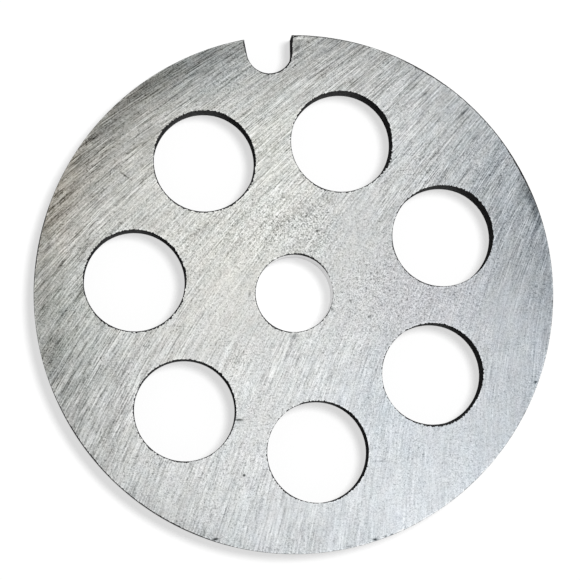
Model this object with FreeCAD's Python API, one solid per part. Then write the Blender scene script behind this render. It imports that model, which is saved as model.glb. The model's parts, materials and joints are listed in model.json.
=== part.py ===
"""Meat grinder plate: one flat steel disc, drilled and notched.

The frame stands on the underside: the origin is the centre of the bore there, +Z runs up along
the bore, and the key notch opens towards +Y. Lengths are in millimetres and angles in degrees.
"""
import FreeCAD, Part
import math
import os

from FreeCAD import Vector

# Disc
plate_diameter = 82.0
plate_thickness = 6.5
rim_break = 0.1            # chamfer on the two outer edges

# Centre bore, which the stud of the feed screw turns in
bore_diameter = 12.2

# Holes that the meat is pushed through
hole_diameter = 16.0
hole_count = 7
hole_circle_diameter = 50.5
pattern_turn = 2.6         # how far the ring of holes is turned from symmetry about the notch

# Key notch in the rim, with a full radius at its root
notch_width = 7.2          # across the root arc
notch_depth = 5.9          # from the rim circle to the deepest point
notch_flare = 5.0          # how far each flank leans out from the notch's axis

# How far the cutting shapes run past the faces and the rim
overrun = 1.0

up = Vector(0, 0, 1)


def through_cylinder(diameter, x, y):
    """A cylinder that passes right through the plate at x, y."""
    height = plate_thickness + 2 * overrun
    return Part.makeCylinder(diameter / 2, height, Vector(x, y, -overrun), up)


def make_blank():
    """The bare disc with both outer edges broken."""
    disc = Part.makeCylinder(plate_diameter / 2, plate_thickness)
    rim_edges = [edge for edge in disc.Edges if isinstance(edge.Curve, Part.Circle)]
    return disc.makeChamfer(rim_break, rim_edges)


def make_meat_holes():
    """The ring of through holes. Two of them flank the notch."""
    pitch = 360 / hole_count
    first = 90 + pitch / 2 + pattern_turn
    ring_radius = hole_circle_diameter / 2
    holes = []
    for number in range(hole_count):
        angle = math.radians(first - number * pitch)
        x = ring_radius * math.cos(angle)
        y = ring_radius * math.sin(angle)
        holes.append(through_cylinder(hole_diameter, x, y))
    return holes


def make_notch():
    """The notch: a round root, and two flanks that lean out to the rim and past it."""
    lean = math.radians(notch_flare)
    root_radius = notch_width / 2
    root_y = plate_diameter / 2 - notch_depth + root_radius
    tangent_x = root_radius * math.cos(lean)
    tangent_y = root_y - root_radius * math.sin(lean)
    mouth_y = plate_diameter / 2 + overrun
    mouth_x = tangent_x + (mouth_y - tangent_y) * math.tan(lean)

    root_right = Vector(tangent_x, tangent_y, -overrun)
    root_left = Vector(-tangent_x, tangent_y, -overrun)
    root_deepest = Vector(0, root_y - root_radius, -overrun)
    mouth_right = Vector(mouth_x, mouth_y, -overrun)
    mouth_left = Vector(-mouth_x, mouth_y, -overrun)
    outline = Part.Wire([
        Part.Arc(root_left, root_deepest, root_right).toShape(),
        Part.LineSegment(root_right, mouth_right).toShape(),
        Part.LineSegment(mouth_right, mouth_left).toShape(),
        Part.LineSegment(mouth_left, root_left).toShape(),
    ])
    return Part.Face(outline).extrude(up * (plate_thickness + 2 * overrun))


def make_grinder_plate():
    """The finished plate."""
    centre_bore = through_cylinder(bore_diameter, 0, 0)
    return make_blank().cut([centre_bore, make_notch()] + make_meat_holes())


os.makedirs("parts", exist_ok=True)
plate = make_grinder_plate().Solids[0]
plate.exportStep("parts/grinder_plate.step")
print("volume", round(plate.Volume, 2), "valid", plate.isValid(), "box", plate.BoundBox)
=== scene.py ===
"""Looks of a meat grinder plate: ground steel faces over dark, oxidised walls.

Lengths are in metres, in the plate's own frame: the origin is the centre of the bore on the
underside, +Z is up, and the key notch opens towards +Y. The patterns on the faces are laid out in
plate radii, with X to the right and Y to the top of the picture.
"""
import json
import math

import bmesh
import bpy
from mathutils import Matrix, Vector, geometry, noise


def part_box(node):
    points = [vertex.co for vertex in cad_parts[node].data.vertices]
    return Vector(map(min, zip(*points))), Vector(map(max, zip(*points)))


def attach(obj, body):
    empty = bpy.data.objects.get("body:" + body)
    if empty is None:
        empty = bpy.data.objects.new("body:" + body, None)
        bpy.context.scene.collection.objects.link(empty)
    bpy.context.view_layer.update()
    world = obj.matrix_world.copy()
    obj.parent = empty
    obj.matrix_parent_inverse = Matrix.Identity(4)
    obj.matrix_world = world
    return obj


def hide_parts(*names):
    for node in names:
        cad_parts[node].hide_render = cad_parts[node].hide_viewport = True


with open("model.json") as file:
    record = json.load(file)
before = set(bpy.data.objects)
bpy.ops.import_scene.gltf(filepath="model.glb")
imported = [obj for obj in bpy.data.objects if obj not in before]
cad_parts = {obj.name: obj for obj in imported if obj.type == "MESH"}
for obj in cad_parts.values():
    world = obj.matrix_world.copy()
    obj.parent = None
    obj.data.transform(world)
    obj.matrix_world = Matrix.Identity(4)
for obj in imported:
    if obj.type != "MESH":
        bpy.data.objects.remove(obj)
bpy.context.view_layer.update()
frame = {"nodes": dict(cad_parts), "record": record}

MM = 0.001
MOUNTS = {mount["name"]: mount for mount in frame["record"]["mounts"]}
OPENINGS = frame["record"]["physics"]["openings"]
PLATE_LOW, PLATE_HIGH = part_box("grinder_plate")

# Sizes that the frame gives
THICKNESS = PLATE_HIGH.z - PLATE_LOW.z
RIM_RADIUS = MOUNTS["rim"]["dims"]["r_mm"] * MM
BORE_RADIUS = MOUNTS["centre_bore"]["dims"]["r_mm"] * MM
RIM_BREAK = (THICKNESS - MOUNTS["rim"]["dims"]["length_mm"] * MM) / 2
NOTCH_CENTRE = Vector(MOUNTS["key_notch"]["pos_m"]).to_2d()

# Form of the notch and fineness of the mesh
NOTCH_FLARE = math.radians(5)
RIM_STEPS = 1800
HOLE_STEPS = 480
BORE_STEPS = 360
NOTCH_ARC_STEPS = 96
NOTCH_FLANK_STEPS = 32

# Worn edges: how far the break of an edge reaches into the face
HOLE_BREAK = 0.118 * MM
BORE_BREAK = 0.085 * MM
NOTCH_BREAK = 0.060 * MM
SMALLEST_BREAK = 0.012 * MM
RUBBED = 0.35              # what is left of the rim's own break where no patch of wear is named
CORNER_TAPER = 0.8         # width of a break, at most, for each step away from a corner of the notch
SIDE_BEARING = math.radians(240)  # the side of a hole, in the picture, where its break is widest
SIDE_EXTRA = 0.5

# How uneven the breaks are: shares of their width, and size of the grain
COARSE_WEAR = 0.8
COARSE_WEAR_SIZE = 3.5 * MM
FINE_WEAR = 1.7
FINE_WEAR_SIZE = 0.24 * MM
PATCH_FINE_WEAR = 0.4      # the share of a patch's own width

# Seeds of that unevenness
RIM_SEED, NOTCH_SEED, FIRST_HOLE_SEED, BORE_SEED = 1, 2, 3, 20
FINE_SEED_STEP = 9

# Section of a break, from the face to the wall: inset and depth of each ring, in widths of the break
BREAK_ROUNDING = 0.38      # 0.5 is a flat chamfer, 0.29 a full round
BREAK_SECTION = ((1, 0), (BREAK_ROUNDING, BREAK_ROUNDING), (0, 1))
MIDDLE_LEVEL = len(BREAK_SECTION) - 1  # the wall itself, among the bands of a wall and its two breaks
SHARPEST_MITRE = 0.5       # keeps the inset at a sharp corner within twice the width of the break
CREASE = math.radians(12)  # edges sharper than this aren't shaded smooth
INSIDE_WITH_HOLES = 2      # the kind of triangulation: inside the outlines, without the holes
SAME_PLACE = 1e-9          # points nearer than this are one

# Patches of wear on the edges: centre and reach in plate radii, as they lie in the picture, and how
# much wider the break is there, or narrower where that is less than nothing
WEAR_PATCHES = (
    (0.88, 0.47, 0.16, 0.240 * MM),
    (0.70, 0.71, 0.14, 0.100 * MM),
    (0.50, 0.87, 0.14, 0.190 * MM),
    (0.14, 0.97, 0.12, 0.120 * MM),
    (-0.08, 0.855, 0.08, 0.170 * MM),
    (-0.03, 0.890, 0.04, 0.080 * MM),
    (-0.18, 0.955, 0.035, 0.200 * MM),
    (0.00, 0.995, 0.02, 0.300 * MM),
    (-0.98, 0.18, 0.20, 0.130 * MM),
    (-0.82, -0.57, 0.22, 0.150 * MM),
    (-0.48, -0.88, 0.22, 0.140 * MM),
    (-0.208, 0.371, 0.090, 0.130 * MM),
    (0.359, 0.506, 0.055, 0.230 * MM),
    (0.583, -0.497, 0.085, 0.260 * MM),
    (-0.476, -0.091, 0.090, 0.190 * MM),
    (-0.420, 0.064, 0.050, 0.090 * MM),
    (0.476, 0.055, 0.040, 0.050 * MM),
    (-0.717, -0.119, 0.040, 0.050 * MM),
    (0.085, 0.419, 0.040, 0.050 * MM),
    (-0.588, -0.353, 0.040, 0.060 * MM),
    (-0.520, 0.610, 0.060, 0.120 * MM),
    (0.060, 0.135, 0.070, 0.250 * MM),
    (0.000, 0.150, 0.050, 0.080 * MM),
    (-0.074, -0.129, 0.040, 0.160 * MM),
    (-0.588, -0.548, 0.060, -0.100 * MM),
    (-0.285, -0.590, 0.130, -0.110 * MM),
    (0.762, 0.174, 0.140, -0.100 * MM),
    (0.670, 0.055, 0.100, -0.080 * MM),
    (0.379, 0.224, 0.060, -0.060 * MM),
    (0.340, -0.340, 0.130, -0.070 * MM),
    (0.730, -0.370, 0.080, -0.080 * MM),
    (0.279, -0.659, 0.140, -0.110 * MM),
    (-0.078, -0.510, 0.070, -0.050 * MM),
    (0.013, 0.490, 0.050, -0.070 * MM),
    (-0.795, 0.100, 0.080, -0.080 * MM),
    (-0.330, 0.315, 0.060, 0.050 * MM),
)

# The plate's materials, by their places in its list
GROUND, OXIDE, REAMED, TURNED = 0, 1, 2, 3

# How the picture was taken: places in plate radii from the middle of the top face, lens in millimetres
PICTURE_TURN = math.radians(5.9)
CAMERA_FOOT = (-0.70, -0.88)
CAMERA_HEIGHT = 13.2
CAMERA_AIM = (-0.0170, 0.0124)
SENSOR_WIDTH = 36.0
FOCAL_LENGTH = 213.9


def hole_centres():
    """Centres of the large holes, from the boxes of their openings."""
    centres = []
    for opening in OPENINGS:
        if opening["name"].startswith("meat_hole"):
            low, high = (Vector(corner) for corner in opening["box_m"])
            centres.append(((low + high) / 2).to_2d())
    return centres


def hole_radius(centre):
    """Radius of a large hole or of the notch's root: how near the solid comes to its centre."""
    vertices = frame["nodes"]["grinder_plate"].data.vertices
    return min((vertex.co.to_2d() - centre).length for vertex in vertices)


# Outlines


def unit_vector(angle):
    """The direction at an angle from +X."""
    return Vector((math.cos(angle), math.sin(angle)))


def circle_points(centre, radius, steps):
    """Points of a circle, clockwise, so that the steel lies on the left."""
    return [centre + radius * unit_vector(-2 * math.pi * step / steps) for step in range(steps)]


def rim_points():
    """The rim counterclockwise from one corner of the notch to the other, then the notch."""
    root_radius = hole_radius(NOTCH_CENTRE)
    outward = Vector((math.sin(NOTCH_FLARE), math.cos(NOTCH_FLARE)))
    tangent = NOTCH_CENTRE + root_radius * unit_vector(-NOTCH_FLARE)
    # the flank meets the rim where the length of tangent + t * outward is the rim's radius
    along = tangent.dot(outward)
    reach = math.sqrt(along**2 - tangent.length_squared + RIM_RADIUS**2) - along
    corner = tangent + reach * outward
    corner_angle = math.atan2(corner.y, corner.x)

    points = []
    notch_span = 2 * (math.pi / 2 - corner_angle)
    for step in range(RIM_STEPS):
        angle = math.pi / 2 + notch_span / 2 + (2 * math.pi - notch_span) * step / RIM_STEPS
        points.append(RIM_RADIUS * unit_vector(angle))
    for step in range(NOTCH_FLANK_STEPS):
        points.append(corner.lerp(tangent, step / NOTCH_FLANK_STEPS))
    for step in range(NOTCH_ARC_STEPS):
        angle = -NOTCH_FLARE - (math.pi - 2 * NOTCH_FLARE) * step / NOTCH_ARC_STEPS
        points.append(NOTCH_CENTRE + root_radius * unit_vector(angle))
    mirrored = Vector((-tangent.x, tangent.y))
    far_corner = Vector((-corner.x, corner.y))
    for step in range(NOTCH_FLANK_STEPS):
        points.append(mirrored.lerp(far_corner, step / NOTCH_FLANK_STEPS))
    return points


def into_steel(points):
    """For each point of an outline, the step into the steel that moves its edges in by one."""
    steps = []
    for number, point in enumerate(points):
        before = (point - points[number - 1]).normalized()
        after = (points[(number + 1) % len(points)] - point).normalized()
        mean = Vector((-(before + after).y, (before + after).x)).normalized()
        steps.append(mean / max(SHARPEST_MITRE, mean.dot(Vector((-before.y, before.x)))))
    return steps


def patch_wear(point):
    """What the patches of wear add to the break of the edge at a point, or take from it."""
    place = Matrix.Rotation(PICTURE_TURN, 2) @ point / RIM_RADIUS
    return sum(
        extra * math.exp(-((place - Vector((x, y))).length / reach) ** 2)
        for x, y, reach, extra in WEAR_PATCHES
    )


def worn_breaks(points, size, seed, centre=None):
    """Width of the edge break at each point: uneven, and changed by the patches of wear.

    Round a hole, whose centre is then given, the break is also wider on one side.
    """
    breaks = []
    wide_side = unit_vector(SIDE_BEARING - PICTURE_TURN)
    for point in points:
        coarse = noise.noise((point / COARSE_WEAR_SIZE).to_3d() + Vector((0, 0, seed)))
        fine = noise.noise((point / FINE_WEAR_SIZE).to_3d() + Vector((0, 0, seed + FINE_SEED_STEP)))
        lean = SIDE_EXTRA * (point - centre).normalized().dot(wide_side) if centre is not None else 0
        width = size * (1 + lean + COARSE_WEAR * coarse + FINE_WEAR * fine)
        width += patch_wear(point) * (1 + PATCH_FINE_WEAR * fine)
        breaks.append(max(SMALLEST_BREAK, width))
    return breaks


def tapered(points, sizes, corners):
    """The widths, narrowed near the corners so that the breaks of two sides don't cross there."""
    return [
        min(size, max(SMALLEST_BREAK, CORNER_TAPER * min((point - corner).length for corner in corners)))
        for point, size in zip(points, sizes)
    ]


# Mesh


def add_wall(bm, points, sizes, wall_materials):
    """The wall under one outline, with a break at either face. Returns its top and bottom loops."""
    steps = into_steel(points)
    middle = THICKNESS / 2
    rings = []
    for side, section in ((1, BREAK_SECTION), (-1, BREAK_SECTION[::-1])):
        for inset, depth in section:
            ring = []
            for point, step, size in zip(points, steps, sizes):
                place = point + step * size * inset
                height = middle + side * (middle - size * depth)
                ring.append(bm.verts.new((place.x, place.y, height)))
            rings.append(ring)
    count = len(points)
    for level, (upper, lower) in enumerate(zip(rings, rings[1:])):
        for number in range(count):
            following = (number + 1) % count
            face = bm.faces.new((upper[number], lower[number], lower[following], upper[following]))
            face.material_index = wall_materials[number] if level == MIDDLE_LEVEL else OXIDE
    return rings[0], rings[-1]


def fill_face(bm, loops):
    """A flat face: triangles between the rim's loop and the loops of the holes."""
    vertices = [vertex for loop in loops for vertex in loop]
    numbers = iter(range(len(vertices)))
    outlines = [[next(numbers) for vertex in loop] for loop in loops]
    places = [vertex.co.to_2d() for vertex in vertices]
    found = geometry.delaunay_2d_cdt(places, [], outlines, INSIDE_WITH_HOLES, SAME_PLACE)
    triangles, vertex_sources = found[2], found[3]
    for triangle in triangles:
        face = bm.faces.new([vertices[vertex_sources[corner][0]] for corner in triangle])
        face.material_index = GROUND


def make_plate():
    """The plate as a fine mesh: smooth walls, uneven edge breaks and two flat faces."""
    bm = bmesh.new()
    top_loops, bottom_loops = [], []

    def add(points, sizes, wall_materials):
        top, bottom = add_wall(bm, points, sizes, wall_materials)
        top_loops.append(top)
        bottom_loops.append(bottom)

    rim = rim_points()
    notch = rim[RIM_STEPS:]
    sizes = worn_breaks(rim[:RIM_STEPS], RUBBED * RIM_BREAK, RIM_SEED)
    sizes += worn_breaks(notch, NOTCH_BREAK, NOTCH_SEED)
    sizes = tapered(rim, sizes, (rim[0], notch[0]))
    add(rim, sizes, [TURNED] * RIM_STEPS + [OXIDE] * len(notch))
    for number, centre in enumerate(hole_centres()):
        points = circle_points(centre, hole_radius(centre), HOLE_STEPS)
        sizes = worn_breaks(points, HOLE_BREAK, FIRST_HOLE_SEED + number, centre)
        add(points, sizes, [OXIDE] * HOLE_STEPS)
    middle = Vector((0, 0))
    points = circle_points(middle, BORE_RADIUS, BORE_STEPS)
    add(points, worn_breaks(points, BORE_BREAK, BORE_SEED, middle), [REAMED] * BORE_STEPS)

    fill_face(bm, top_loops)
    fill_face(bm, bottom_loops)
    bmesh.ops.recalc_face_normals(bm, faces=bm.faces)

    mesh = bpy.data.meshes.new("ground_plate")
    bm.to_mesh(mesh)
    bm.free()
    for polygon in mesh.polygons:
        polygon.use_smooth = True
    mesh.set_sharp_from_angle(angle=CREASE)
    plate = bpy.data.objects.new("ground_plate", mesh)
    bpy.context.scene.collection.objects.link(plate)
    return plate


# Materials


DISPLAY_GAMMA = 2.2
BUMP_DISTANCE = 0.02 * MM


class Nodes:
    """A node tree that is laid out by short calls, most of which return a socket."""

    def __init__(self, tree):
        self.tree = tree

    def node(self, kind, **settings):
        made = self.tree.nodes.new(kind)
        for name, value in settings.items():
            setattr(made, name, value)
        return made

    def feed(self, socket, value):
        """Gives an input the value, or links it where the value is a socket."""
        if isinstance(value, bpy.types.NodeSocket):
            self.tree.links.new(value, socket)
        else:
            socket.default_value = value

    def math(self, operation, *values):
        made = self.node("ShaderNodeMath", operation=operation)
        for socket, value in zip(made.inputs, values):
            self.feed(socket, value)
        return made.outputs[0]

    def add(self, *values):
        total = values[0]
        for value in values[1:]:
            total = self.math("ADD", total, value)
        return total

    def times(self, first, second):
        return self.math("MULTIPLY", first, second)

    def ramp(self, value, low, high, at_low=0.0, at_high=1.0):
        """Smooth step from at_low to at_high as value goes from low to high."""
        made = self.node("ShaderNodeMapRange", interpolation_type="SMOOTHSTEP")
        limits = {"From Min": low, "From Max": high, "To Min": at_low, "To Max": at_high}
        for name, number in limits.items():
            made.inputs[name].default_value = number
        self.feed(made.inputs["Value"], value)
        return made.outputs["Result"]

    def choose(self, switch, when_off, when_on):
        """One value where the switch is 0 and the other where it is 1."""
        made = self.node("ShaderNodeMapRange")
        for name, value in (("Value", switch), ("To Min", when_off), ("To Max", when_on)):
            self.feed(made.inputs[name], value)
        return made.outputs["Result"]

    def vector(self, x, y, z):
        made = self.node("ShaderNodeCombineXYZ")
        for socket, value in zip(made.inputs, (x, y, z)):
            self.feed(socket, value)
        return made.outputs[0]

    def parts(self, vector):
        """The X, Y and Z of a vector."""
        made = self.node("ShaderNodeSeparateXYZ")
        self.feed(made.inputs[0], vector)
        return made.outputs

    def cloud(self, place, detail):
        """Noise about zero, between -0.5 and 0.5."""
        made = self.node("ShaderNodeTexNoise")
        made.inputs["Scale"].default_value = 1.0
        made.inputs["Detail"].default_value = detail
        self.feed(made.inputs["Vector"], place)
        return self.math("SUBTRACT", made.outputs["Fac"], 0.5)


class Shader(Nodes):
    """A material with one surface."""

    def __init__(self, name):
        self.material = bpy.data.materials.new(name)
        self.material.use_nodes = True
        super().__init__(self.material.node_tree)
        self.surface = self.tree.nodes["Principled BSDF"]

    def set(self, name, value):
        self.feed(self.surface.inputs[name], value)

    def paint(self, red, green, blue):
        """Gives the surface the colour that displays as these tones."""
        display = self.node("ShaderNodeGamma")
        display.inputs["Gamma"].default_value = DISPLAY_GAMMA
        self.feed(display.inputs["Color"], self.vector(red, green, blue))
        self.set("Base Color", display.outputs[0])

    def bump(self, height, strength):
        made = self.node("ShaderNodeBump")
        made.inputs["Strength"].default_value = strength
        made.inputs["Distance"].default_value = BUMP_DISTANCE
        self.feed(made.inputs["Height"], height)
        self.set("Normal", made.outputs[0])


# Grinding marks run in wide arcs: they are the level lines of this polynomial of the place on the
# face, given as its factor for each pair of powers of x and y
ARCS = {
    (1, 0): 0.857, (0, 1): -0.516,
    (2, 0): 0.073, (1, 1): 0.181, (0, 2): -0.338,
    (3, 0): 0.020, (2, 1): 0.082, (1, 2): -0.038, (0, 3): -0.101,
}
ARCS_LEAN = math.radians(59)

# Broad zones of the faces. Each has how much it adds at its centre, the centre, two radii and the
# turn in degrees: first to the display tone, as painted reflection and shade, then to the depth of
# the marks, to the speckle, and to blue and green, as painted reflection of warm and cool surroundings
PAINTED_REFLECTION_ZONES = (
    (-0.22, -0.64, 0.83, 0.90, 0.18, 49),
    (-0.13, 1.10, 0.31, 0.38, 0.70, 107),
    (-0.14, -0.58, 0.93, 0.90, 0.15, 3),
    (-0.16, -1.10, -0.22, 0.47, 0.69, 4),
    (0.15, 1.10, -0.90, 0.80, 0.25, 0),
    (-0.200, 0.916, 0.367, 0.016, 0.080, 22),
    (-0.050, 0.96, 0.33, 0.07, 0.13, 20),
    (-0.035, 0.63, 0.61, 0.10, 0.14, -40),
    (-0.040, 0.99, -0.05, 0.07, 0.13, 0),
    (-0.035, -0.93, 0.00, 0.06, 0.14, 0),
    (-0.070, -0.90, -0.29, 0.09, 0.13, 15),
    (0.025, -0.60, -0.62, 0.16, 0.10, -45),
    (-0.035, -0.42, -0.91, 0.18, 0.06, -25),
    (0.025, 0.36, -0.92, 0.12, 0.06, 20),
    (-0.030, 0.16, 0.97, 0.10, 0.05, -8),
    (-0.027, -0.60, 0.34, 0.09, 0.09, 0),
    (0.030, -0.83, 0.09, 0.07, 0.10, 0),
    (-0.022, 0.17, -0.90, 0.12, 0.06, 0),
    (0.022, 0.11, -0.27, 0.10, 0.08, 0),
    (-0.025, 0.30, -0.41, 0.08, 0.08, 0),
    (-0.018, -0.57, 0.74, 0.10, 0.06, 40),
)
MARK_ZONES = (
    (-0.10, -0.58, 0.62, 0.20, 0.20, 0),
    (-0.14, -0.80, -0.42, 0.15, 0.20, 0),
    (-0.18, -0.42, -0.78, 0.20, 0.15, 0),
    (0.05, 0.00, -0.90, 0.30, 0.12, 0),
    (-0.26, 0.66, -0.60, 0.35, 0.25, 40),
    (-0.12, 0.92, -0.12, 0.15, 0.30, 0),
    (0.06, 0.06, 0.80, 0.20, 0.15, 0),
    (0.09, -0.08, 0.50, 0.18, 0.18, 0),
    (0.02, -0.34, 0.22, 0.16, 0.16, 0),
    (-0.20, -0.25, -0.02, 0.14, 0.16, 0),
    (0.12, 0.02, 0.30, 0.15, 0.10, 0),
    (-0.36, 0.28, 0.05, 0.16, 0.20, 0),
    (0.34, 0.00, -0.30, 0.20, 0.10, 0),
    (-0.30, -0.15, -0.52, 0.18, 0.16, 0),
    (-0.20, 0.52, -0.04, 0.18, 0.20, 0),
    (-0.20, 0.54, 0.68, 0.24, 0.20, -40),
    (-0.12, -0.30, -0.17, 0.12, 0.10, 0),
    (-0.38, -0.57, 0.31, 0.15, 0.13, 0),
    (-0.36, -0.22, 0.77, 0.18, 0.09, 0),
    (-0.20, 0.21, 0.26, 0.13, 0.14, 0),
    (-0.32, -0.61, -0.66, 0.14, 0.14, 0),
    (-0.22, 0.30, -0.80, 0.14, 0.14, 0),
    (-0.26, 0.75, -0.07, 0.10, 0.14, 0),
    (0.24, 0.50, 0.44, 0.12, 0.09, 0),
    (0.15, 0.24, 0.90, 0.14, 0.06, 0),
    (0.32, 0.92, 0.30, 0.08, 0.14, 0),
    (0.28, -0.78, 0.54, 0.10, 0.14, 0),
)
SPECKLE_ZONES = (
    (0.38, 0.02, 0.27, 0.22, 0.12, 0),
    (0.17, 0.26, 0.02, 0.15, 0.17, 0),
    (0.13, 0.50, -0.03, 0.18, 0.20, 0),
    (0.10, -0.30, 0.22, 0.20, 0.20, 0),
    (0.03, 0.83, 0.36, 0.18, 0.25, 0),
    (0.08, -0.15, -0.50, 0.18, 0.18, 0),
    (-0.09, -0.25, 0.00, 0.14, 0.20, 0),
    (-0.06, 0.00, -0.30, 0.20, 0.10, 0),
    (-0.10, 0.92, -0.20, 0.20, 0.35, 0),
    (-0.12, 0.05, -0.88, 0.30, 0.15, 0),
    (-0.09, 0.66, -0.62, 0.25, 0.25, 0),
    (-0.15, 0.22, 0.26, 0.13, 0.14, 0),
    (-0.06, 0.30, -0.80, 0.14, 0.14, 0),
    (0.10, 0.50, 0.44, 0.12, 0.09, 0),
)
# painted reflection: zones of tint from warm and cool surroundings mirrored in the face
BLUE_REFLECTION_ZONES = (
    (-0.018, -0.93, 0.42, 0.14, 0.30, 0),
    (0.006, -0.78, 0.00, 0.18, 0.45, 0),
    (-0.006, -0.22, 0.06, 0.22, 0.20, 0),
    (-0.004, -0.08, 0.48, 0.20, 0.20, 0),
    (0.011, -0.32, 0.88, 0.20, 0.16, 15),
    (0.010, 0.34, -0.46, 0.20, 0.20, 0),
    (0.005, 0.83, 0.40, 0.25, 0.30, 0),
)
# painted reflection: zones of tint from warm and cool surroundings mirrored in the face
GREEN_REFLECTION_ZONES = (
    (0.005, -0.20, 0.20, 0.35, 0.35, 0),
    (-0.007, 0.50, -0.03, 0.20, 0.18, 0),
    (0.006, -0.86, -0.12, 0.12, 0.20, 0),
    (0.005, -0.06, 0.62, 0.15, 0.18, 0),
)

# Small damage: change of display tone, centre, two radii and turn in degrees
NICKS = (
    (0.22, 0.030, 0.987, 0.024, 0.004, -3),
    (0.08, 0.110, 0.958, 0.060, 0.005, -6),
    (0.22, 0.458, 0.372, 0.007, 0.003, -50),
    (0.20, 0.470, 0.392, 0.004, 0.003, 0),
    (-0.22, 0.012, 0.950, 0.008, 0.016, -25),
    (-0.55, -0.214, -0.487, 0.018, 0.0038, 0),
    (-0.75, -0.193, -0.699, 0.0048, 0.0048, 0),
    (-0.30, 0.090, 0.241, 0.012, 0.0045, 12),
    (-0.32, 0.215, -0.028, 0.006, 0.005, 0),
    (-0.25, 0.292, -0.088, 0.006, 0.004, 40),
    (-0.20, -0.003, -0.167, 0.012, 0.008, 0),
    (-0.28, 0.145, -0.062, 0.006, 0.005, 0),
    (-0.34, -0.653, 0.452, 0.018, 0.0035, -38),
    (-0.18, -0.585, 0.430, 0.014, 0.0035, 50),
    (-0.14, 0.336, -0.645, 0.030, 0.003, 0),
    (-0.55, -0.303, -0.943, 0.011, 0.0045, 10),
    (-0.40, -0.641, -0.770, 0.005, 0.005, 0),
    (-0.60, 0.309, -0.944, 0.009, 0.0042, 5),
    (-0.40, 0.350, -0.933, 0.006, 0.004, 15),
    (-0.30, 0.372, -0.926, 0.005, 0.004, 15),
    (-0.25, 0.210, -0.971, 0.014, 0.004, 10),
    (-0.40, 0.930, -0.340, 0.006, 0.005, 0),
    (-0.25, -0.172, -0.004, 0.004, 0.008, 0),
    (-0.24, 0.507, 0.775, 0.020, 0.0045, 49),
    (-0.24, 0.653, 0.699, 0.030, 0.0040, 46),
    (-0.20, 0.672, 0.684, 0.026, 0.0035, 46),
    (-0.18, 0.700, 0.605, 0.020, 0.0045, 48),
    (-0.20, 0.790, 0.310, 0.028, 0.0045, 58),
    (0.20, 0.860, 0.325, 0.055, 0.0030, 58),
    (0.16, 0.848, 0.410, 0.036, 0.0030, 55),
    (0.16, 0.828, 0.305, 0.045, 0.0030, 60),
    (-0.16, 0.850, 0.318, 0.050, 0.0035, 58),
)

# Marks that run along the arcs: length, pitch, seed, strength and, where it has some, detail
STREAKS = (
    (7.0 * MM, 0.19 * MM, 1, 0.32),
    (2.8 * MM, 0.17 * MM, 5, 0.40),
    (1.2 * MM, 0.15 * MM, 9, 0.26),
    (16.0 * MM, 1.1 * MM, 13, 0.08),
)
CLUSTERS = (5.0 * MM, 1.8 * MM, 31, 1.9, 1.0)
BLUE_STREAKS = (12.0 * MM, 1.6 * MM, 21, 0.010)
GREEN_STREAKS = (3.0 * MM, 1.2 * MM, 43, 0.016, 2.0)

# Patterns without a direction: size of the grain, strength and, where it has some, detail
SPECKLES = ((0.16 * MM, 1.0), (0.36 * MM, 0.32))
SPECKLE_PATCHES = (6.0 * MM, 0.35, 1.0)
PITS = (0.34 * MM, 1.0)
MOTTLE = (2.6 * MM, 0.06, 2.0)
# unevenness of the painted highlight beside the edges
UNEVEN_EDGE_HIGHLIGHT = (0.22 * MM, 0.45)
BLUE_CLOUDS = (1.7 * MM, 0.016, 2.0)

# Ramps: where each starts and ends, and its value at either end
MARKS_TO_UPPER_LEFT = (-1.0, 0.45, 0.42, 1.0)
MARKS_FROM_CENTRE = (0.15, 0.90, 0.50, 1.0)
PIT_EDGES = (0.12, 0.30, 0.0, 1.0)
# fading of the painted highlight away from an edge
EDGE_HIGHLIGHT_FADING = (0.0, 0.45 * MM, 1.0, 0.0)

# Slopes over the face, as factors for pairs of powers of x and y; those of blue and green are painted
# reflection of warm and cool surroundings
UPPER_LEFT = {(1, 0): -0.57, (0, 1): 0.82}
# painted reflection: the face a little darker towards the top
PAINTED_REFLECTION_SLOPES = {(1, 0): -0.001, (0, 1): -0.030}
BLUE_REFLECTION_SLOPES = {(1, 0): 0.014, (0, 1): -0.0076, (2, 0): 0.006, (0, 2): 0.005}
GREEN_REFLECTION_SLOPES = {(1, 0): -0.0039, (0, 1): 0.0021}

FACE_TONE = 0.851          # display tone at the centre, before the patterns
RIM_SHADE = -0.077         # painted shade: change of tone at the rim, which grows with the distance's fourth power
GREEN_TONE = 0.0048        # what green has above the mean of red and blue
EDGE_HIGHLIGHT_TONE = 0.045       # painted highlight: what the tone gains right beside an edge
SPECKLE_LEVEL = 0.33       # strength of the speckle, before its patches and zones
PIT_TONE = -0.45           # change of tone in a pit, for each unit of that strength
FACE_ROUGHNESS = 0.40
MARK_GLOSS = -0.5          # change of roughness for the height of a mark
GRAIN_HEIGHT = 0.3         # height of the grain, for its change of tone
FACE_BUMP = 0.6
BETWEEN_FACES = 400.0      # how far the noise of the marks moves for each plate radius of height


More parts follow.
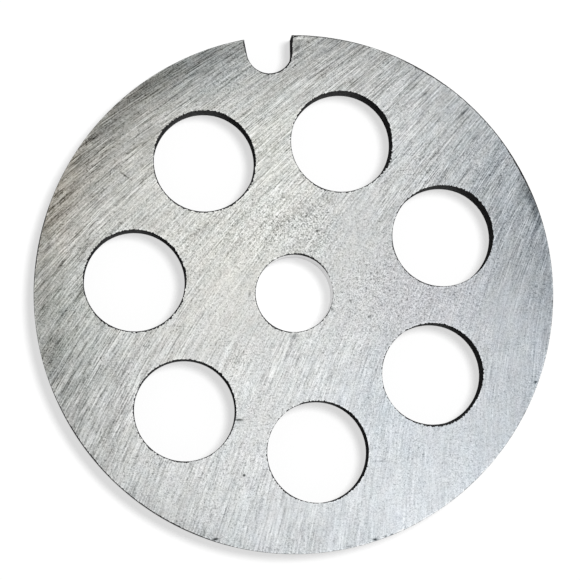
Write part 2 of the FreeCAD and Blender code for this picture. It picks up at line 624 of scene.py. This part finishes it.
class FaceShader(Shader):
    """The material of the faces, laid out in plate radii as they lie in the picture."""

    def __init__(self, name):
        super().__init__(name)
        self.object_place = self.node("ShaderNodeTexCoord").outputs["Object"]
        to_picture = self.node("ShaderNodeMapping")
        to_picture.inputs["Rotation"].default_value = (0, 0, PICTURE_TURN)
        to_picture.inputs["Scale"].default_value = (1 / RIM_RADIUS,) * 3
        self.feed(to_picture.inputs["Vector"], self.object_place)
        self.place = to_picture.outputs[0]
        self.x, self.y, z = self.parts(self.place)
        self.side = self.times(z, BETWEEN_FACES)
        self.from_centre_squared = self.add(self.times(self.x, self.x), self.times(self.y, self.y))
        self.along = self.polynomial({(1, 0): math.cos(ARCS_LEAN), (0, 1): math.sin(ARCS_LEAN)})
        self.across = self.polynomial(ARCS)

    def polynomial(self, factors):
        """Sum of factor * x^i * y^j, for powers up to 3."""
        powers_x = [None, self.x, self.times(self.x, self.x)]
        powers_x.append(self.times(powers_x[2], self.x))
        powers_y = [None, self.y, self.times(self.y, self.y)]
        powers_y.append(self.times(powers_y[2], self.y))
        terms = []
        for (i, j), factor in factors.items():
            power = self.times(powers_x[i], powers_y[j]) if i and j else powers_x[i] or powers_y[j]
            terms.append(self.times(power, factor))
        return self.add(*terms)

    def plane(self, factor_x, factor_y, centre_x, centre_y):
        """factor_x and factor_y times how far x and y are from the centre."""
        start = -(factor_x * centre_x + factor_y * centre_y)
        over_y = self.math("MULTIPLY_ADD", self.y, factor_y, start)
        return self.math("MULTIPLY_ADD", self.x, factor_x, over_y)

    def with_zones(self, start, zones):
        """The value start plus what each soft elliptical zone adds at a place of the picture."""
        total = start
        for strength, centre_x, centre_y, radius_x, radius_y, turn in zones:
            cos, sin = unit_vector(math.radians(turn))
            along = self.plane(cos / radius_x, sin / radius_x, centre_x, centre_y)
            across = self.plane(-sin / radius_y, cos / radius_y, centre_x, centre_y)
            squared = self.math("MULTIPLY_ADD", along, along, self.times(across, across))
            fading = self.math("POWER", math.exp(-1), squared)
            total = self.math("MULTIPLY_ADD", fading, strength, total)
        return total

    def marks(self, length, pitch, seed, strength, detail=0.0):
        """Streaks of a given length and pitch along the arcs, about zero."""
        place = self.vector(
            self.times(self.along, RIM_RADIUS / length),
            self.times(self.across, RIM_RADIUS / pitch),
            self.add(self.side, seed),
        )
        return self.times(self.cloud(place, detail), strength)

    def grain(self, size, strength, detail=0.0):
        """Noise of a given size of grain, about zero."""
        made = self.node("ShaderNodeVectorMath", operation="SCALE")
        self.feed(made.inputs[0], self.place)
        made.inputs["Scale"].default_value = RIM_RADIUS / size
        return self.times(self.cloud(made.outputs[0], detail), strength)


def edge_distance(face):
    """Distance over a face to the nearest edge, in metres."""
    x, y, _ = face.parts(face.object_place)
    flat = face.vector(x, y, 0.0)

    def past_circle(where, centre, radius):
        made = face.node("ShaderNodeVectorMath", operation="DISTANCE")
        face.feed(made.inputs[0], where)
        made.inputs[1].default_value = centre.to_3d()
        return face.math("SUBTRACT", made.outputs["Value"], radius)

    middle = Vector((0, 0))
    nearest = face.times(past_circle(flat, middle, RIM_RADIUS), -1.0)
    circles = [(centre, hole_radius(centre)) for centre in hole_centres()]
    circles.append((middle, BORE_RADIUS))
    for centre, radius in circles:
        nearest = face.math("MINIMUM", nearest, past_circle(flat, centre, radius))
    # beyond its centre the notch runs on to the rim, so a place there counts as level with the centre
    level = face.vector(x, face.math("MINIMUM", y, NOTCH_CENTRE.y), 0.0)
    gap = past_circle(level, NOTCH_CENTRE, hole_radius(NOTCH_CENTRE))
    return face.math("MINIMUM", nearest, gap)


def mark_relief(face):
    """The marks: deepest towards the upper left, faint at the lower right and round the bore."""
    depth = face.times(
        face.ramp(face.polynomial(UPPER_LEFT), *MARKS_TO_UPPER_LEFT),
        face.ramp(face.math("SQRT", face.from_centre_squared), *MARKS_FROM_CENTRE),
    )
    depth = face.with_zones(depth, MARK_ZONES)
    depth = face.times(depth, face.add(1.0, face.marks(*CLUSTERS)))
    streaks = face.add(*(face.marks(*streak) for streak in STREAKS))
    return face.times(streaks, depth)


def speckle_and_pits(face):
    """Speckle of two sizes, and a few deeper pits."""
    level = face.add(SPECKLE_LEVEL, face.grain(*SPECKLE_PATCHES))
    level = face.with_zones(level, SPECKLE_ZONES)
    speckle = face.times(face.add(*(face.grain(*kind) for kind in SPECKLES)), level)
    pits = face.times(face.ramp(face.grain(*PITS), *PIT_EDGES), face.times(level, PIT_TONE))
    return speckle, pits


def face_tone(face, relief, speckle, pits):
    """The face's display tone, with its patterns, painted highlights beside the edges, zones and slopes of
    painted reflection, painted shade towards the rim, and small damage.
    """
    mottle = face.grain(*MOTTLE)
    # a painted highlight beside each edge
    near_edge = face.ramp(edge_distance(face), *EDGE_HIGHLIGHT_FADING)
    edge_highlight = face.times(near_edge, face.add(EDGE_HIGHLIGHT_TONE, face.grain(*UNEVEN_EDGE_HIGHLIGHT)))
    # the dark side of the marks and of the speckle is a little deeper than the bright side
    texture = face.add(relief, speckle)
    texture = face.math("SUBTRACT", texture, face.times(texture, texture))
    # painted shade, darker towards the rim
    shade = face.times(face.times(face.from_centre_squared, face.from_centre_squared), RIM_SHADE)
    tone = face.add(FACE_TONE, face.polynomial(PAINTED_REFLECTION_SLOPES), shade, texture, pits, mottle, edge_highlight)
    # painted reflection and shade in broad zones, then the small damage
    return face.with_zones(tone, PAINTED_REFLECTION_ZONES + NICKS)


def face_tints(face):
    """What blue gains and red loses, and what green gains.

    The face is warm at the left, most of all near the rim, and cool at the right and below: painted
    reflection of warm and cool surroundings; the streaks and clouds of tint are grain.
    """
    blue = face.add(face.polynomial(BLUE_REFLECTION_SLOPES), face.marks(*BLUE_STREAKS), face.grain(*BLUE_CLOUDS))
    blue = face.with_zones(blue, BLUE_REFLECTION_ZONES)
    green = face.add(GREEN_TONE, face.polynomial(GREEN_REFLECTION_SLOPES), face.marks(*GREEN_STREAKS))
    green = face.with_zones(green, GREEN_REFLECTION_ZONES)
    return blue, green


def ground_face_material():
    """Surface-ground steel: fine streaks on wide arcs, speckle, and broad zones of painted reflection and
    shade.
    """
    face = FaceShader("ground_steel_face")
    relief = mark_relief(face)
    speckle, pits = speckle_and_pits(face)
    tone = face_tone(face, relief, speckle, pits)
    blue, green = face_tints(face)
    face.paint(face.math("SUBTRACT", tone, blue), face.add(tone, green), face.add(tone, blue))
    face.set("Roughness", face.add(FACE_ROUGHNESS, face.times(relief, MARK_GLOSS)))
    face.set("Metallic", 1.0)
    face.bump(face.add(relief, face.times(speckle, GRAIN_HEIGHT), pits), FACE_BUMP)
    return face.material


# Patterns of the walls: length round the wall, pitch along the axis, and detail
OXIDE_RINGS = (2.5 * MM, 0.30 * MM, 1.0)
OXIDE_SCALE = (0.6 * MM, 0.6 * MM, 2.0)
TURNED_RINGS = (12.0 * MM, 0.24 * MM, 1.0)
TURNED_FILM = (3.0 * MM, 1.6 * MM, 3.0)
REAMED_RINGS = (3.0 * MM, 0.12 * MM, 1.0)

# Display tones of the walls, and how far their patterns change them; the last value for oxide is painted
# light on one side of each hole's wall
OXIDE_TONE, OXIDE_RING_TONE, OXIDE_SCALE_TONE, PAINTED_LIT_SIDE_TONE = 0.215, 0.16, 0.22, 0.15
TURNED_TONE, TURNED_RING_TONE, TURNED_FILM_TONE = 0.42, 0.26, 0.18
REAMED_TONE, REAMED_RING_TONE = 0.80, 0.12
WALL_BLUE = 0.003          # what blue has above red and green
OXIDE_ROUGHNESS, TURNED_ROUGHNESS, REAMED_ROUGHNESS = 0.8, 0.42, 0.22
FILM_GLOSS = -0.3          # change of roughness where the oxide film is thick

PAINTED_LIT_SIDE_BEARING = math.radians(105)  # the side of a hole, in the picture, that is painted lighter as painted light
PAINTED_LIT_SIDE_EDGES = (0.62, 1.0)  # cosines of the angle from there, where the painted light starts and is full


def wall_pattern(shader, length, pitch, detail):
    """Fine lines or scale on a wall, of a given length round it and spacing along the axis."""
    x, y, z = shader.parts(shader.node("ShaderNodeTexCoord").outputs["Object"])
    place = shader.vector(
        shader.times(x, 1 / length),
        shader.times(y, 1 / length),
        shader.times(z, 1 / pitch),
    )
    return shader.cloud(place, detail)


def finish_wall(shader, tone, height, bump_strength):
    """Gives the surface a grey of the given display tone and a bump."""
    shader.paint(tone, tone, shader.add(tone, WALL_BLUE))
    shader.bump(height, bump_strength)


def painted_lit_side(shader):
    """From 0 to 1, how much painted light each hole's wall gets on the side that is painted lighter."""
    towards_middle = -unit_vector(PAINTED_LIT_SIDE_BEARING - PICTURE_TURN)
    made = shader.node("ShaderNodeVectorMath", operation="DOT_PRODUCT")
    shader.feed(made.inputs[0], shader.node("ShaderNodeTexCoord").outputs["Normal"])
    made.inputs[1].default_value = towards_middle.to_3d()
    return shader.ramp(made.outputs["Value"], *PAINTED_LIT_SIDE_EDGES)


def oxide_wall_material():
    """Walls of the holes and edge breaks: dull black oxide with blurred tool rings and scale, and painted
    light on one side of each wall.
    """
    shader = Shader("oxide_wall")
    rings = wall_pattern(shader, *OXIDE_RINGS)
    scale = wall_pattern(shader, *OXIDE_SCALE)
    tone = shader.add(
        OXIDE_TONE,
        shader.times(rings, OXIDE_RING_TONE),
        shader.times(scale, OXIDE_SCALE_TONE),
        # painted light on one side of each hole's wall
        shader.times(painted_lit_side(shader), PAINTED_LIT_SIDE_TONE),
    )
    finish_wall(shader, tone, shader.add(rings, scale), bump_strength=0.5)
    shader.set("IOR", 1.0)
    shader.set("Roughness", OXIDE_ROUGHNESS)
    return shader.material


def turned_rim_material():
    """The wall of the rim: dark turned steel with fine rings and a broken oxide film."""
    shader = Shader("turned_rim")
    rings = wall_pattern(shader, *TURNED_RINGS)
    film = wall_pattern(shader, *TURNED_FILM)
    tone = shader.add(
        TURNED_TONE,
        shader.times(rings, TURNED_RING_TONE),
        shader.times(film, TURNED_FILM_TONE),
    )
    finish_wall(shader, tone, rings, bump_strength=0.5)
    shader.set("Metallic", 1.0)
    shader.set("Roughness", shader.add(TURNED_ROUGHNESS, shader.times(film, FILM_GLOSS)))
    return shader.material


def reamed_bore_material():
    """The wall of the bore: smooth bright steel with fine rings left by the reamer."""
    shader = Shader("reamed_bore")
    rings = wall_pattern(shader, *REAMED_RINGS)
    tone = shader.add(REAMED_TONE, shader.times(rings, REAMED_RING_TONE))
    finish_wall(shader, tone, rings, bump_strength=0.1)
    shader.set("Metallic", 1.0)
    shader.set("Roughness", REAMED_ROUGHNESS)
    return shader.material


# Stage


FLOOR_HALF = 0.35          # small, because the lamp would leave a wider floor grey far out
FLOOR_GLOW = 0.632         # what the floor shows before any light falls on it
FLOOR_TONE = 0.41          # share of the light on it that the camera and metal see
FLOOR_BOUNCE = 0.8         # share of that light that dull surfaces get back


def floor_material():
    """White where it is seen and the lamp reaches it, a little darker in the plate's shadow."""
    material = bpy.data.materials.new("floor_white")
    material.use_nodes = True
    nodes = Nodes(material.node_tree)
    nodes.tree.nodes.clear()

    def dull(tone):
        made = nodes.node("ShaderNodeBsdfDiffuse")
        made.inputs["Color"].default_value = (tone, tone, tone, 1)
        return made.outputs[0]

    path = nodes.node("ShaderNodeLightPath").outputs
    glow = nodes.node("ShaderNodeEmission")
    glow.inputs["Strength"].default_value = FLOOR_GLOW
    both = nodes.node("ShaderNodeAddShader")
    nodes.feed(both.inputs[0], dull(FLOOR_TONE))
    nodes.feed(both.inputs[1], glow.outputs[0])
    chosen = nodes.node("ShaderNodeMixShader")
    nodes.feed(chosen.inputs[0], nodes.math("MAXIMUM", path["Is Camera Ray"], path["Is Glossy Ray"]))
    nodes.feed(chosen.inputs[1], dull(FLOOR_BOUNCE))
    nodes.feed(chosen.inputs[2], both.outputs[0])
    output = nodes.node("ShaderNodeOutputMaterial")
    nodes.feed(output.inputs["Surface"], chosen.outputs[0])
    return material


def make_floor():
    """A plain white floor that keeps the plate's shadow."""
    mesh = bpy.data.meshes.new("floor")
    corners = [(-1, -1), (1, -1), (1, 1), (-1, 1)]
    mesh.from_pydata([(x * FLOOR_HALF, y * FLOOR_HALF, 0) for x, y in corners], [], [(0, 1, 2, 3)])
    mesh.materials.append(floor_material())
    floor = bpy.data.objects.new("floor", mesh)
    bpy.context.scene.collection.objects.link(floor)


AMBIENT = 0.20             # what the world gives to dull surfaces
KEY_LEVEL = 0.80           # what the key lamp adds on a level white surface
HORIZON_LEVEL = 0.35       # what metal mirrors from low down, where overhead is about 1
ZENITH_LEVEL = 1.04
HORIZON_EDGES = (-0.2, 0.9)  # heights of the mirrored direction where each of these two is reached
KEY_LEAN = math.radians(13.4)
KEY_BEARING = math.radians(30)
KEY_DISTANCE = 1.2
KEY_DIAMETER = 0.27


def make_world():
    """White to the camera, brighter overhead than low down in reflections, soft on dull surfaces."""
    world = bpy.data.worlds.new("studio")
    bpy.context.scene.world = world
    world.use_nodes = True
    nodes = Nodes(world.node_tree)
    path = nodes.node("ShaderNodeLightPath").outputs
    direction = nodes.node("ShaderNodeTexCoord").outputs["Generated"]
    mirrored = nodes.ramp(nodes.parts(direction)["Z"], *HORIZON_EDGES, HORIZON_LEVEL, ZENITH_LEVEL)
    dull_or_metal = nodes.choose(path["Is Glossy Ray"], AMBIENT, mirrored)
    background = nodes.tree.nodes["Background"]
    background.inputs["Color"].default_value = (1, 1, 1, 1)
    nodes.feed(background.inputs["Strength"], nodes.choose(path["Is Camera Ray"], dull_or_metal, 1.0))


def make_key_lamp():
    """A round lamp high above, leaning to the right of the picture and a little to its top."""
    lamp = bpy.data.lights.new("key", "AREA")
    lamp.shape = "DISK"
    lamp.size = KEY_DIAMETER
    # a disc of radiance L gives L * area * cos / distance^2, and a radiance of L needs pi * area * L watts
    lamp.energy = KEY_LEVEL * math.pi * math.pi * KEY_DISTANCE**2 / math.cos(KEY_LEAN)
    bearing = KEY_BEARING - PICTURE_TURN
    direction = Vector((
        math.sin(KEY_LEAN) * math.cos(bearing),
        math.sin(KEY_LEAN) * math.sin(bearing),
        math.cos(KEY_LEAN),
    ))
    key = bpy.data.objects.new("key", lamp)
    key.location = direction * KEY_DISTANCE
    key.rotation_euler = direction.to_track_quat("Z", "Y").to_euler()
    key.visible_glossy = False
    bpy.context.scene.collection.objects.link(key)


def make_camera():
    """The camera of the picture: high above, a little below and to the left of the plate."""
    turn = Matrix.Rotation(-PICTURE_TURN, 3, "Z")
    lift = Vector((0, 0, THICKNESS))
    place = turn @ Vector((*CAMERA_FOOT, CAMERA_HEIGHT)) * RIM_RADIUS + lift
    aim = turn @ Vector((*CAMERA_AIM, 0)) * RIM_RADIUS + lift
    picture_up = turn @ Vector((0, 1, 0))
    forward = (aim - place).normalized()
    right = forward.cross(picture_up).normalized()
    above = right.cross(forward)
    lens = bpy.data.cameras.new("camera")
    lens.sensor_fit = "HORIZONTAL"
    lens.sensor_width = SENSOR_WIDTH
    lens.lens = FOCAL_LENGTH
    lens.clip_start = 0.01
    lens.clip_end = 50
    camera = bpy.data.objects.new("camera", lens)
    camera.matrix_world = Matrix((
        (right.x, above.x, -forward.x, place.x),
        (right.y, above.y, -forward.y, place.y),
        (right.z, above.z, -forward.z, place.z),
        (0, 0, 0, 1),
    ))
    bpy.context.scene.collection.objects.link(camera)
    bpy.context.scene.camera = camera


bpy.context.scene.view_settings.view_transform = "Standard"
make_camera()
make_world()
make_key_lamp()
make_floor()

plate = make_plate()
# in the order of GROUND, OXIDE, REAMED and TURNED
for make_material in (ground_face_material, oxide_wall_material, reamed_bore_material, turned_rim_material):
    plate.data.materials.append(make_material())
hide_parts("grinder_plate")
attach(plate, "root")
